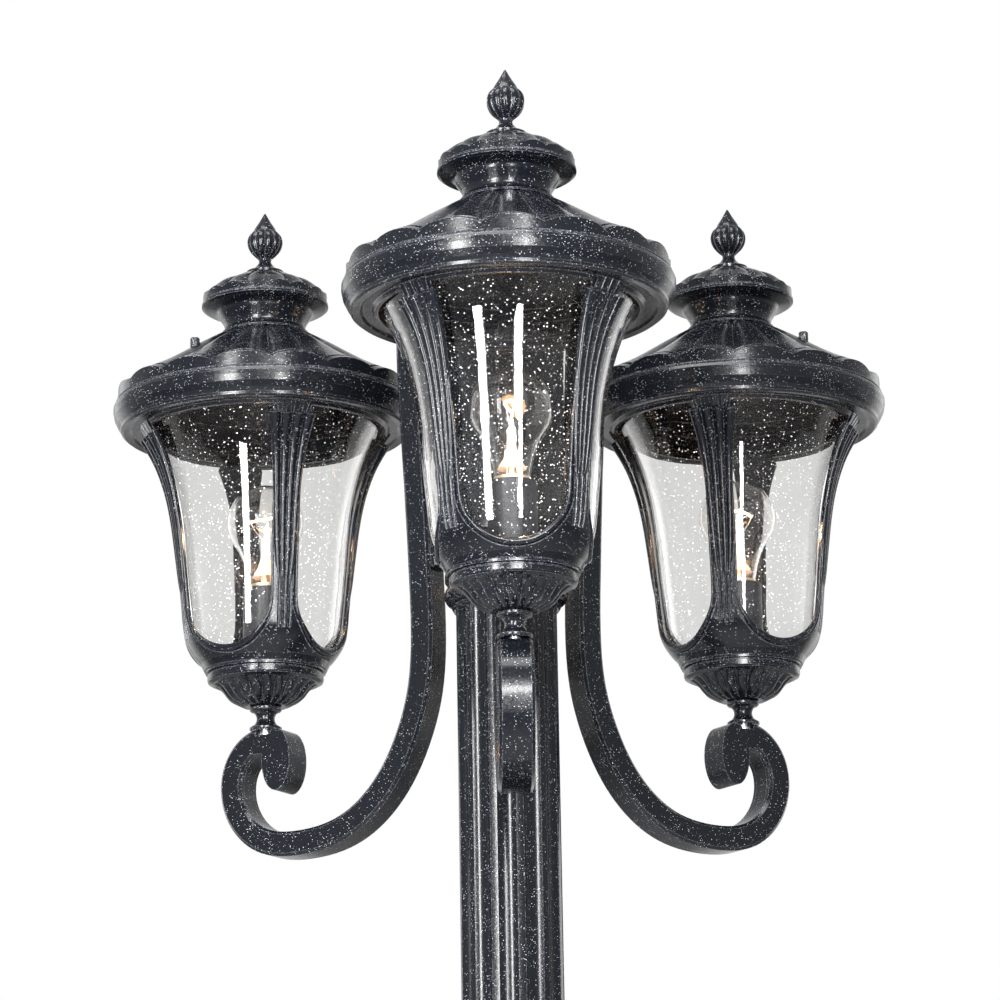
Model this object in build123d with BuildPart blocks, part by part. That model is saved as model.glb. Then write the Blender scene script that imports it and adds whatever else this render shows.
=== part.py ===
"""Triple head lamp post: three scalloped lanterns on scrolled arms, fluted post, cast base.

Lengths are in millimetres. The origin lies on the post axis at floor level, +Z is up and
the front lantern points to -Y. The two other lanterns stand 120 degrees to each side.
Lantern pieces are drawn about their own axis, arm pieces with the radial direction on +X,
and each is then carried to its head.
"""
import math
import os

from build123d import *

os.makedirs("parts", exist_ok=True)

# ---------------------------------------------------------------- driving dimensions
total_height = 2032.0          # floor to the tips of the finials, 80 in
lantern_height = 420.0         # scroll top to finial tip
head_reach = 213.0             # post axis to lantern axis
head_angles = {"front": -90.0, "left": 150.0, "right": 30.0}
roof_turns = {"front": 0.0, "left": 67.5, "right": -67.5}
foot_z = total_height - lantern_height          # top of the scrolls

fixed_gap = 0.05               # play of a fixed plug in its seat
run_gap = 0.06                 # radial play of a turning or sliding fit
seat_gap = 0.05                # height of a moving piece over its seat
lip_gap = 0.3                  # play of the roof lip in the ring

# post
post_radius = 38.1             # 3 in post
post_bore = 33.0
post_foot = 190.0              # lower end of the post inside the base socket
flute_count = 12
flute_radius = 11.5
flute_depth = 3.2
flute_turn = -80.0

# collar and hub, heights over the scroll tops
collar_mid = 80.0
collar_half = 8.0
collar_radius = 46.5
post_top = collar_mid + collar_half
hub_radius = 50.0
hub_height = 268.0
hub_wall = 6.0
spigot_length = 70.0
spigot_bore = 26.0
pad_face = 56.0                # plane on which the arm flanges bear
pad_width = 36.0
pad_height = 66.0
boss_radius = 9.0
boss_z = 118.0                 # lower tie screw

# base
base_radius = 127.0
base_height = 330.0
socket_ledge = 30.0
anchor_circle = 101.6          # radius of the bolt circle, 8 in across
anchor_hole = 5.6
anchor_count = 4
base_lobes = 16

# arm
bar_width = 25.0
bar_depth = 19.0
bar_chamfer = 2.2
arm_end_z = 322.0              # middle of the arm flange over the scroll tops
bend_radius = 22.0
flange_depth = 6.0
channel_width = 9.0
channel_depth = 11.0
cover_width = 14.0
cover_depth = 2.4
curl_half_width = 12.6
curl_half_height = 24.0
curl_s = 196.6
curl_z = -25.2
wire_radius = 2.2
wire_offset = 3.5              # wire in the channel, from the middle line of the bar
trunk_radius = 4.5
screw_radius = 2.5
screw_head = 4.8
screw_head_depth = 3.2

# spool, bowl and nipple
spool_height = 19.0
spool_radius = 12.5
spool_neck = 7.0
nipple_radius = 4.8
nipple_bore = 2.5
nipple_end = 10.0              # length of the nipple above the cage floor
bowl_top = 47.0
bowl_radius = 45.0
bowl_lobes = 20

# cage, ring and glass
cage_top = 239.5
cage_wall = 4.0
cage_floor = 5.0
window_sides = [(38.5, 95.0), (41.0, 140.0), (46.5, 190.0), (50.5, 215.0), (56.0, 236.5)]
frame_width = 3.0
frame_depth = 1.3
strut_groove = 1.3
ring_top = 261.3
ring_bore = 100.0
ring_ledge = 95.5
ledge_z = 244.5
glass_gap = 1.2
glass_wall = 3.0
glass_foot = 54.0
glass_hole = 18.6

# socket and bulb
socket_radius = 17.5
socket_top = 112.0
bulb_base_radius = 13.0
bulb_base_z = 90.0
bulb_centre_z = 165.0
bulb_radius = 30.0
bulb_wall = 1.0

# roof, chimney, finial
lobes = 16
finial_lobes = 10
roof_rim = 115.5
roof_top = 318.0
roof_neck = 30.0
scallop_wall = 5.0             # scalloped edge in front of the trough
trough_width = 4.5
trough_z = 268.0
knob_circle = 67.0             # radius on which the two thumb screws stand
knob_radius = 3.7
knob_height = 9.0
knob_seat_z = 296.0
shank_radius = 2.0
shank_length = 10.6
lug_post_radius = 4.0
lug_width = 12.0
chimney_neck = 32.0
chimney_rim = 50.0
chimney_rim_z = 343.0
finial_foot = 368.0

cage_profile = [(50.0, 52.0), (57.0, 60.5), (61.5, 69.0), (64.3, 84.0), (66.8, 109.0),
                (69.6, 140.0), (73.0, 169.0), (78.0, 193.0), (86.0, 217.0), (99.0, cage_top)]


def export(piece, label):
    """Label one piece and write its file."""
    piece.label = label
    export_step(piece, "parts/" + label + ".step")


def lobed_face(height, crest, ratio, count):
    """Face with convex lobes: crest radius, and crease depth as a share of that radius."""
    step = 360.0 / count
    crease = crest * (1 - ratio)
    with BuildSketch(Plane.XY.offset(height)) as sketch:
        with BuildLine():
            for index in range(count):
                middle = index * step
                first = Vector(crease, 0).rotate(Axis.Z, middle - step / 2)
                top = Vector(crest, 0).rotate(Axis.Z, middle)
                last = Vector(crease, 0).rotate(Axis.Z, middle + step / 2)
                ThreePointArc(first, top, last)
        make_face()
    return sketch.sketch.face()


def lobed_loft(sections, ratio, count, mode=Mode.ADD):
    """Gadrooned body through lobed sections given as (height, crest radius)."""
    loft(sections=[lobed_face(height, crest, ratio, count) for height, crest in sections], mode=mode)


def turned(points):
    """Revolve a closed profile of (radius, height) points about the Z axis."""
    with BuildPart() as piece:
        with BuildSketch(Plane.XZ):
            with BuildLine():
                Polyline(*points, close=True)
            make_face()
        revolve(axis=Axis.Z)
    return piece


# ---------------------------------------------------------------- base
with BuildPart() as base:
    with BuildSketch(Plane.XZ):
        with BuildLine():
            foot = Polyline((0, 0), (base_radius, 0), (base_radius, 12), (base_radius - 3, 15),
                            (base_radius - 9, 15), (base_radius - 10, 20), (base_radius - 15, 24))
            Spline(foot @ 1, (96, 34), (86, 50), (84, 62), tangents=((-1, 0.1), (0.2, 1)))
            Polyline((84, 62), (86, 64), (86, 70), (80, 73), (60, 150), (60, 153), (63, 156),
                     (63, 162), (60, 165), (57, 168))
            Spline((57, 168), (50, 215), (48, 296), tangents=((-0.4, 1), (0, 1)))
            Polyline((48, 296), (53, 300), (54, 306), (53, 312), (48, 316), (47, 324),
                     (45, base_height), (0, base_height), (0, 0))
        make_face()
    revolve(axis=Axis.Z)
    lobed_loft(((72.0, 82.0), (95.0, 85.0), (120.0, 79.0), (140.0, 68.0), (151.0, 61.0)),
               0.045, base_lobes)
    with BuildSketch(Plane.XY.offset(base_height)):
        Circle(post_radius + fixed_gap)
    extrude(amount=-(base_height - post_foot), mode=Mode.SUBTRACT)
    with BuildSketch(Plane.XZ):
        with BuildLine():
            Polyline((0, post_foot), (socket_ledge, post_foot), (socket_ledge, 178), (42, 160),
                     (60, 110), (72, 60), (92, 20), (92, 0), (0, 0), close=True)
        make_face()
    revolve(axis=Axis.Z, mode=Mode.SUBTRACT)
    with BuildSketch(Plane.XY):
        with PolarLocations(anchor_circle, anchor_count, start_angle=45):
            Circle(anchor_hole)
    extrude(amount=40, mode=Mode.SUBTRACT)
    with BuildSketch(Plane.XY.offset(15)):
        with PolarLocations(anchor_circle, anchor_count, start_angle=45):
            Circle(anchor_hole + 7)
    extrude(amount=30, mode=Mode.SUBTRACT)
    with BuildSketch(Plane.XZ.offset(30)):
        with Locations((0, 306)):
            Circle(screw_radius + fixed_gap)
    extrude(amount=40, mode=Mode.SUBTRACT)
    with BuildSketch(Plane.XZ.offset(-30)):
        with Locations((0, 306)):
            Circle(screw_radius + fixed_gap)
    extrude(amount=-40, mode=Mode.SUBTRACT)
export(base.part, "base")

with BuildPart() as base_screws:
    for side in (-1, 1):
        with BuildSketch(Plane.XZ.offset(side * (post_radius + 0.1))):
            with Locations((0, 306)):
                Circle(screw_radius)
        extrude(amount=side * 17)
        with BuildSketch(Plane.XZ.offset(side * (post_radius + 16.2))):
            with Locations((0, 306)):
                Circle(screw_head)
        extrude(amount=side * screw_head_depth)
export(base_screws.part, "base_screws")

# ---------------------------------------------------------------- post
post_length = foot_z + post_top - post_foot
with BuildPart() as post:
    with BuildSketch(Plane.XY.offset(post_foot)):
        Circle(post_radius)
        Circle(post_bore, mode=Mode.SUBTRACT)
    extrude(amount=post_length)
    with BuildSketch(Plane.XY.offset(base_height + 6)):
        with PolarLocations(post_radius - flute_depth + flute_radius, flute_count,
                            start_angle=flute_turn + 15):
            Circle(flute_radius)
    extrude(amount=foot_z + collar_mid - collar_half - 4 - base_height - 6, mode=Mode.SUBTRACT)
export(post.part, "post")

with BuildPart() as post_collar:
    with BuildSketch(Plane.XZ):
        with BuildLine():
            low = foot_z + collar_mid - collar_half
            high = foot_z + post_top
            inner = post_radius + fixed_gap
            Polyline((inner, high), (inner, low - 4), (inner + 1.4, low - 4), (inner + 2.6, low - 2),
                     (inner + 2.6, low))
            ThreePointArc((inner + 2.6, low), (collar_radius, (low + high) / 2), (inner + 2.6, high))
            Line((inner + 2.6, high), (inner, high))
        make_face()
    revolve(axis=Axis.Z)
export(post_collar.part, "post_collar")

# ---------------------------------------------------------------- hub
hub_low = foot_z + post_top
hub_high = hub_low + hub_height
with BuildPart() as hub:
    with BuildSketch(Plane.XZ):
        with BuildLine():
            Polyline((0, hub_low - spigot_length), (post_bore - fixed_gap, hub_low - spigot_length),
                     (post_bore - fixed_gap, hub_low), (44, hub_low), (46, hub_low + 3),
                     (46, hub_low + 8), (43, hub_low + 11), (43, hub_low + 16),
                     (hub_radius, hub_low + 26), (hub_radius, hub_high - 12),
                     (hub_radius + 3, hub_high - 10), (hub_radius + 3, hub_high - 3),
                     (hub_radius, hub_high), (0, hub_high), close=True)
        make_face()
    revolve(axis=Axis.Z)
    for angle in head_angles.values():
        radial = Plane(origin=(0, 0, foot_z), z_dir=Vector(1, 0).rotate(Axis.Z, angle), x_dir=(0, 0, 1))
        with BuildSketch(radial.offset(pad_face)):
            with Locations((arm_end_z - 3, 0)):
                Rectangle(pad_height, pad_width)
        extrude(amount=-(pad_face - 40))
        with BuildSketch(radial.offset(pad_face)):
            with Locations((boss_z, 0)):
                Circle(boss_radius)
        extrude(amount=-(pad_face - 40))
    with BuildSketch(Plane.XZ):
        with BuildLine():
            Polyline((0, hub_low - spigot_length), (spigot_bore, hub_low - spigot_length),
                     (spigot_bore, hub_low + 12), (hub_radius - hub_wall, hub_low + 34),
                     (hub_radius - hub_wall, hub_high), (0, hub_high), close=True)
        make_face()
    revolve(axis=Axis.Z, mode=Mode.SUBTRACT)
    for angle in head_angles.values():
        radial = Plane(origin=(0, 0, foot_z), z_dir=Vector(1, 0).rotate(Axis.Z, angle), x_dir=(0, 0, 1))
        with BuildSketch(radial.offset(pad_face)):
            with Locations((arm_end_z + wire_offset, 0)):
                Circle(wire_radius + 0.3)
            with Locations((arm_end_z - 26, 0), (arm_end_z + 19, 0), (boss_z, 0)):
                Circle(screw_radius + fixed_gap)
        extrude(amount=-30, mode=Mode.SUBTRACT)
export(hub.part, "hub")

with BuildPart() as hub_cap:
    with BuildSketch(Plane.XZ):
        with BuildLine():
            Polyline((0, hub_high - 6), (hub_radius - hub_wall - fixed_gap, hub_high - 6),
                     (hub_radius - hub_wall - fixed_gap, hub_high), (hub_radius + 1, hub_high),
                     (hub_radius + 1, hub_high + 3))
            ThreePointArc((hub_radius + 1, hub_high + 3), (33, hub_high + 16), (11, hub_high + 22))
            Polyline((11, hub_high + 22), (0, hub_high + 22), (0, hub_high - 6))
        make_face()
    revolve(axis=Axis.Z)
    with BuildSketch(Plane.XY.offset(hub_high + 22)):
        Circle(screw_radius + 0.5 + fixed_gap)
    extrude(amount=-40, mode=Mode.SUBTRACT)
export(hub_cap.part, "hub_cap")

with BuildPart() as hub_finial:
    with BuildSketch(Plane.XZ):
        with BuildLine():
            bottom = hub_high + 22
            Polyline((0, bottom - 18), (screw_radius + 0.5, bottom - 18), (screw_radius + 0.5, bottom),
                     (10, bottom), (10, bottom + 3), (5, bottom + 6), (5, bottom + 8))
            ThreePointArc((5, bottom + 8), (9, bottom + 13), (6, bottom + 19))
            Polyline((6, bottom + 19), (0, bottom + 25), (0, bottom - 18))
        make_face()
    revolve(axis=Axis.Z)
export(hub_finial.part, "hub_finial")


# ---------------------------------------------------------------- arm, radial direction on +X
def arm_path():
    """Middle line of the arm bar, from the hub flange down round the scroll to the spool."""
    bend_s = pad_face + bend_radius
    with BuildLine(Plane.XZ) as path:
        ThreePointArc((pad_face, arm_end_z),
                      (pad_face + bend_radius * math.sin(math.pi / 4),
                       arm_end_z - bend_radius * (1 - math.cos(math.pi / 4))),
                      (bend_s, arm_end_z - bend_radius))
        Spline((bend_s, arm_end_z - bend_radius), (73.7, 200), (69.0, 108), (67.6, 60), (71.5, 14),
               (82.6, -21), (104.0, -57), (136.0, -82.5), (178, -91.5), (210, -86.5),
               (231.0, -67.5), (237.8, -43), (230.5, -20.5), (head_reach, -bar_depth / 2),
               tangents=((0, -1), (-1, 0.12)))
    return path


def along_arm(width, depth, offset, chamfer_size=0.0):
    """Bar swept along the arm; offset moves it from the middle line to the hollow side.

    A depth of zero gives a round rod of that width.
    """
    path = arm_path()
    with BuildPart() as bar:
        with BuildLine():
            add(path.line)
        with BuildSketch(Plane(origin=path.line @ 0, z_dir=path.line % 0, x_dir=(0, 1, 0))) as section:
            with Locations((0, offset)):
                if depth:
                    Rectangle(width, depth)
                else:
                    Circle(width / 2)
            if chamfer_size:
                chamfer(section.vertices(), chamfer_size)
        sweep()
    return bar


outer_face = bar_depth / 2
with BuildPart() as arm:
    add(along_arm(bar_width, bar_depth, 0.0, bar_chamfer))
    with BuildSketch(Plane.XZ.offset(-bar_width / 2)):
        with Locations((curl_s, curl_z)):
            Ellipse(curl_half_width, curl_half_height)
        with Locations((curl_s + 8, -bar_depth / 2 - 3)):
            Rectangle(24, bar_depth - 4)
    extrude(amount=bar_width)
    with BuildSketch(Plane.YZ.offset(pad_face)):
        with Locations((0, arm_end_z - 3)):
            RectangleRounded(pad_width, pad_height - 2, 6)
    extrude(amount=flange_depth)
    with BuildSketch(Plane.XZ.offset(-boss_radius)):
        with Locations((62, boss_z)):
            Rectangle(12, 2 * boss_radius)
    extrude(amount=2 * boss_radius)
    add(along_arm(channel_width, channel_depth, outer_face - channel_depth / 2), mode=Mode.SUBTRACT)
    add(along_arm(cover_width + 2 * fixed_gap, cover_depth, outer_face - cover_depth / 2),
        mode=Mode.SUBTRACT)
    with BuildSketch(Plane.XY.offset(2)):
        with Locations((head_reach, 0)):
            Circle(nipple_radius + fixed_gap)
    extrude(amount=-40, mode=Mode.SUBTRACT)
    with BuildSketch(Plane.YZ.offset(pad_face - 4)):
        with Locations((0, arm_end_z - 26), (0, arm_end_z + 19), (0, boss_z)):
            Circle(screw_radius + fixed_gap)
    extrude(amount=40, mode=Mode.SUBTRACT)

with BuildPart() as arm_cover:
    add(along_arm(cover_width, cover_depth - fixed_gap, outer_face - cover_depth / 2))
    with BuildSketch(Plane.XY.offset(-bar_depth)):
        with Locations((head_reach, 0)):
            Rectangle(34, 2 * cover_width)
    extrude(amount=bar_depth, mode=Mode.SUBTRACT)

with BuildPart() as arm_screws:
    for height in (arm_end_z - 26, arm_end_z + 19):
        with BuildSketch(Plane.YZ.offset(40)):
            with Locations((0, height)):
                Circle(screw_radius)
        extrude(amount=pad_face + flange_depth - 40)
        with BuildSketch(Plane.YZ.offset(pad_face + flange_depth)):
            with Locations((0, height)):
                Circle(screw_head)
        extrude(amount=screw_head_depth)
    with BuildSketch(Plane.YZ.offset(44)):
        with Locations((0, boss_z)):
            Circle(screw_radius)
    extrude(amount=14)

# ---------------------------------------------------------------- lantern, about its own axis
with BuildPart() as nipple:
    with BuildSketch(Plane.XY.offset(channel_depth - bar_depth)):
        Circle(nipple_radius)
        Circle(nipple_bore, mode=Mode.SUBTRACT)
    extrude(amount=bar_depth - channel_depth + bowl_top + cage_floor + nipple_end)

with BuildPart() as spool:
    with BuildSketch(Plane.XZ):
        with BuildLine():
            inner = nipple_radius + fixed_gap
            Polyline((inner, 0), (spool_radius - 1, 0), (spool_radius, 1), (spool_radius, 2.5),
                     (spool_radius - 1.5, 3.6), (spool_radius - 2.8, 4.2))
            ThreePointArc((spool_radius - 2.8, 4.2), (spool_neck, 9.5), (spool_radius - 3, 14.6))
            Polyline((spool_radius - 3, 14.6), (spool_radius - 1, 15.2), (spool_radius, 16.4),
                     (spool_radius, 17.8), (spool_radius - 1.2, spool_height), (inner, spool_height),
                     (inner, 0))
        make_face()
    revolve(axis=Axis.Z)

with BuildPart() as bowl:
    lobed_loft(((spool_height, 16.5), (21.0, 21.5), (24.0, 27.0), (28.0, 31.0), (31.0, 33.2),
                (34.0, 36.2), (36.5, 40.0), (38.5, 43.0)), 0.09, bowl_lobes)
    with BuildSketch(Plane.XZ):
        with BuildLine():
            Polyline((0, 36.5), (bowl_radius - 4, 36.5), (bowl_radius - 0.6, 38), (bowl_radius, 39.5),
                     (bowl_radius, 43.2), (bowl_radius - 1, 43.8), (bowl_radius - 1, 44.4),
                     (bowl_radius + 1.5, 45), (bowl_radius + 1.5, bowl_top), (0, bowl_top), close=True)
        make_face()
    revolve(axis=Axis.Z)
    with BuildSketch(Plane.XZ):
        with BuildLine():
            Polyline((11, 24), (18, 25.5), (26, 33), (36, 40), (39, 43), (39, bowl_top + 1),
                     (11, bowl_top + 1), close=True)
        make_face()
    revolve(axis=Axis.Z, mode=Mode.SUBTRACT)
    with BuildSketch(Plane.XY):
        Circle(nipple_radius + fixed_gap)
    extrude(amount=60, mode=Mode.SUBTRACT)


def cage_skin(inset):
    """Solid bounded by the cage outline moved inwards by inset."""
    with BuildPart() as skin:
        with BuildSketch(Plane.XZ):
            with BuildLine():
                bottom = bowl_top + (cage_floor if inset > 2 else 0)
                side = Spline(*[(radius - inset, height) for radius, height in cage_profile])
                Polyline(side @ 0, (max(47.5 - inset, 10), bottom), (0, bottom), (0, cage_top),
                         side @ 1)
            make_face()
        revolve(axis=Axis.Z)
    return skin


def window_cutter(grow, start):
    """Four round-bottomed window blocks, widened by grow, from radius start outwards."""
    with BuildPart() as cutter:
        for turn in range(4):
            plane = Plane.XZ.rotated((0, 0, 90 * turn))
            with BuildSketch(plane.offset(start)):
                with BuildLine():
                    side = [(half + grow, height) for half, height in window_sides]
                    low, low_z = side[0]
                    top, top_z = side[-1]
                    Spline(*side)
                    Polyline((top, top_z), (top, top_z + 2 * grow + 0.1), (-top, top_z + 2 * grow + 0.1),
                             (-top, top_z))
                    Spline(*[(-half, height) for half, height in reversed(side)])
                    ThreePointArc((-low, low_z), (0, low_z - low), (low, low_z))
                make_face()
            extrude(amount=90)
    return cutter


with BuildPart() as rebate:
    add(cage_skin(-2))
    add(cage_skin(frame_depth), mode=Mode.SUBTRACT)
    add(window_cutter(frame_width, 20), mode=Mode.INTERSECT)

with BuildPart() as cage:
    add(cage_skin(0))
    add(cage_skin(cage_wall), mode=Mode.SUBTRACT)
    add(window_cutter(0, 20), mode=Mode.SUBTRACT)
    add(rebate, mode=Mode.SUBTRACT)
    with BuildSketch(Plane.XY):
        Circle(nipple_radius + fixed_gap)
    extrude(amount=80, mode=Mode.SUBTRACT)
    groove_path = [(radius + 0.5, height) for radius, height in cage_profile[2:]]
    for strut in range(4):
        for lane in (-4.0, 0.0, 4.0):
            plane = Plane.XZ.rotated((0, 0, 45 + 90 * strut + lane))
            with BuildLine(plane) as lane_line:
                Spline(*groove_path)
            with BuildSketch(Plane(origin=lane_line.line @ 0, z_dir=lane_line.line % 0)):
                Circle(strut_groove)
            sweep(path=lane_line.line, mode=Mode.SUBTRACT)

ring_foot = cage_top
brim_ring = turned(((ring_ledge, ring_foot), (104, ring_foot), (106, ring_foot - 1.5),
                    (111, ring_foot - 2), (113, ring_foot - 0.5), (113.5, ring_foot + 1.5),
                    (115.5, ring_foot + 4), (118, ring_foot + 9), (119, ring_foot + 14),
                    (119, ring_foot + 17), (118, ring_foot + 19.3), (116.6, ring_foot + 19.8),
                    (116.6, ring_foot + 20.6), (117.2, ring_foot + 21), (117, ring_top),
                    (ring_bore, ring_top), (ring_bore, ledge_z), (ring_ledge, ledge_z)))
with BuildPart() as ring_with_lugs:
    add(brim_ring)
    with BuildSketch(Plane.XY.offset(ring_top - 12)):
        with Locations(((ring_bore + knob_circle) / 2, 0), (-(ring_bore + knob_circle) / 2, 0)):
            SlotOverall(ring_bore - knob_circle + lug_width + 2, lug_width)
    extrude(amount=5)
    with BuildSketch(Plane.XY.offset(ring_top - 8)):
        with Locations((knob_circle, 0), (-knob_circle, 0)):
            Circle(lug_post_radius)
    extrude(amount=knob_seat_z - shank_length - lip_gap - ring_top + 8)

with BuildPart() as glass:
    with BuildSketch(Plane.XZ):
        with BuildLine():
            outer_points = [(r - cage_wall - glass_gap, z + 1.5) for r, z in cage_profile[:-1]]
            inner_points = [(r - glass_wall, z + (2.4 if z < 70 else 0.6)) for r, z in outer_points]
            flare = ring_bore - 0.6
            outer = Spline(*outer_points)
            inner = Spline(*inner_points)
            Polyline(outer @ 1, (ring_ledge - 3.5, ledge_z - 3), (ring_ledge - 1.2, ledge_z + seat_gap),
                     (flare, ledge_z + seat_gap), (flare, ledge_z + 2.6),
                     (ring_ledge - 4.2, ledge_z + 2.6), inner @ 1)
            Polyline(outer @ 0, (glass_hole, glass_foot - 0.3), (glass_hole, glass_foot + 2.7), inner @ 0)
        make_face()
    revolve(axis=Axis.Z)

socket_floor = bowl_top + cage_floor
with BuildPart() as socket:
    with BuildSketch(Plane.XY.offset(socket_floor)):
        Circle(socket_radius)
        Circle(nipple_radius + fixed_gap, mode=Mode.SUBTRACT)
    extrude(amount=socket_top - socket_floor)
    fillet(socket.edges().group_by(Axis.Z)[-1], 1.2)
    with BuildSketch(Plane.XY.offset(socket_top)):
        Circle(bulb_base_radius + run_gap)
    extrude(amount=-(socket_top - bulb_base_z + 2.5 + seat_gap), mode=Mode.SUBTRACT)
    with BuildSketch(Plane.XY.offset(socket_floor + 12)):
        Circle(11)
    extrude(amount=socket_top - socket_floor - 30, mode=Mode.SUBTRACT)

bulb_neck_z = socket_top + 3
with BuildPart() as bulb:
    with BuildSketch(Plane.XZ):
        with BuildLine():
            angle = math.radians(-38)
            side_r = bulb_radius * math.cos(angle)
            side_z = bulb_centre_z + bulb_radius * math.sin(angle)
            Line((0, bulb_neck_z), (bulb_base_radius - 0.2, bulb_neck_z))
            Spline((bulb_base_radius - 0.2, bulb_neck_z), (side_r, side_z),
                   tangents=((0.15, 1), (math.sin(-angle), math.cos(angle))))
            ThreePointArc((side_r, side_z), (bulb_radius * math.cos(0.4),
                          bulb_centre_z + bulb_radius * math.sin(0.4)), (0, bulb_centre_z + bulb_radius))
            Line((0, bulb_centre_z + bulb_radius), (0, bulb_neck_z))
        make_face()
    revolve(axis=Axis.Z)
    offset(amount=-bulb_wall, openings=bulb.faces().sort_by(Axis.Z)[0])

with BuildPart() as bulb_base:
    with BuildSketch(Plane.XZ):
        with BuildLine():
            tip = bulb_base_z - 2.5 + 2 * seat_gap
            Polyline((0, tip), (4, tip), (5, tip + 1), (10.5, bulb_base_z + 1), (bulb_base_radius, bulb_base_z + 3),
                     (bulb_base_radius, bulb_neck_z), (bulb_base_radius - 2, bulb_neck_z),
                     (bulb_base_radius - 2, bulb_neck_z - 4), (4, bulb_neck_z - 4), (2.6, bulb_neck_z + 18),
                     (2.6, bulb_neck_z + 30), (0, bulb_neck_z + 31), close=True)
        make_face()
    revolve(axis=Axis.Z)

# ---------------------------------------------------------------- roof
roof_seat = ring_top + seat_gap
with BuildPart() as roof:
    lobed_loft(((roof_seat + 0.6, 142.0), (266.0, 130.5), (272.0, 116.5), (280.0, 99.0), (289.5, 82.0),
                (299.5, 66.0), (308.0, 52.0), (314.0, 41.5), (roof_top, 34.5)), 0.1, lobes)
    with BuildSketch(Plane.XY.offset(roof_seat)):
        Circle(roof_rim)
    extrude(amount=60, mode=Mode.INTERSECT)
    with BuildSketch(Plane.XY.offset(roof_seat)):
        Circle(roof_rim)
    extrude(amount=3)
    with BuildSketch(Plane.XY.offset(roof_seat - 4)):
        Circle(ring_bore - lip_gap)
    extrude(amount=6)
    with BuildSketch(Plane.XY.offset(trough_z)):
        Circle(roof_rim - scallop_wall)
        Circle(roof_rim - scallop_wall - trough_width, mode=Mode.SUBTRACT)
    extrude(amount=20, mode=Mode.SUBTRACT)
    with BuildSketch(Plane.XZ):
        with BuildLine():
            Polyline((0, 250), (ring_bore - 3.5, 250), (ring_bore - 3.5, 269), (88, 274), (74, 284),
                     (59, 294.5), (47, 303), (37.5, 309.5), (roof_neck - 4, 312.5),
                     (roof_neck - 4, 330), (0, 330), close=True)
        make_face()
    revolve(axis=Axis.Z, mode=Mode.SUBTRACT)
    with BuildSketch(Plane.XY.offset(knob_seat_z)):
        with Locations((knob_circle, 0), (-knob_circle, 0)):
            Circle(knob_radius + 1.4)
    extrude(amount=20, mode=Mode.SUBTRACT)
    with BuildSketch(Plane.XY.offset(ring_top)):
        with Locations((knob_circle, 0), (-knob_circle, 0)):
            Circle(shank_radius + run_gap)
    extrude(amount=60, mode=Mode.SUBTRACT)

with BuildPart() as roof_knob:
    with BuildSketch(Plane.XY.offset(knob_seat_z + seat_gap)):
        Circle(knob_radius)
    extrude(amount=knob_height)
    fillet(roof_knob.edges().group_by(Axis.Z)[-1], 1.0)
    with BuildSketch(Plane.XY.offset(knob_seat_z + seat_gap)):
        Circle(shank_radius)
    extrude(amount=-shank_length)

with BuildPart() as chimney:
    with BuildSketch(Plane.XZ):
        with BuildLine():
            Polyline((22, roof_top - 2), (roof_neck - 4 - fixed_gap, roof_top - 2),
                     (roof_neck - 4 - fixed_gap, roof_top), (chimney_neck + 2.5, roof_top),
                     (chimney_neck + 2.5, roof_top + 1.5))
            Spline((chimney_neck + 2.5, roof_top + 1.5), (chimney_neck, roof_top + 6),
                   (37, chimney_rim_z - 9), (chimney_rim - 2.5, chimney_rim_z - 3.5),
                   tangents=((-1, 0.6), (1, 0.2)))
            Polyline((chimney_rim - 2.5, chimney_rim_z - 3.5), (chimney_rim, chimney_rim_z - 2),
                     (chimney_rim, chimney_rim_z), (chimney_rim - 1.4, chimney_rim_z + 0.4),
                     (chimney_rim - 1.4, chimney_rim_z + 1.2), (22, chimney_rim_z + 1.2),
                     (22, roof_top - 2))
        make_face()
    revolve(axis=Axis.Z)

with BuildPart() as chimney_cap:
    lobed_loft(((chimney_rim_z + 1.2, 62.0), (348.0, 56.0), (351.0, 48.5), (356.0, 42.0),
                (360.5, 34.5), (364.0, 26.0), (finial_foot, 15.5)), 0.12, lobes)
    with BuildSketch(Plane.XY.offset(chimney_rim_z + 1.2)):
        Circle(chimney_rim - 1)
    extrude(amount=finial_foot - chimney_rim_z - 1.25, mode=Mode.INTERSECT)
    with BuildSketch(Plane.XY.offset(chimney_rim_z + 1.2)):
        Circle(chimney_rim - 1)
    extrude(amount=1.8)
    with BuildSketch(Plane.XZ):
        with BuildLine():
            Polyline((0, 340), (42, 340), (42, 345.5), (33, 353), (24, 358), (12, 361), (0, 361),
                     close=True)
        make_face()
    revolve(axis=Axis.Z, mode=Mode.SUBTRACT)
    with BuildSketch(Plane.XY.offset(350)):
        Circle(screw_radius + 0.5 + fixed_gap)
    extrude(amount=40, mode=Mode.SUBTRACT)

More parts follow.
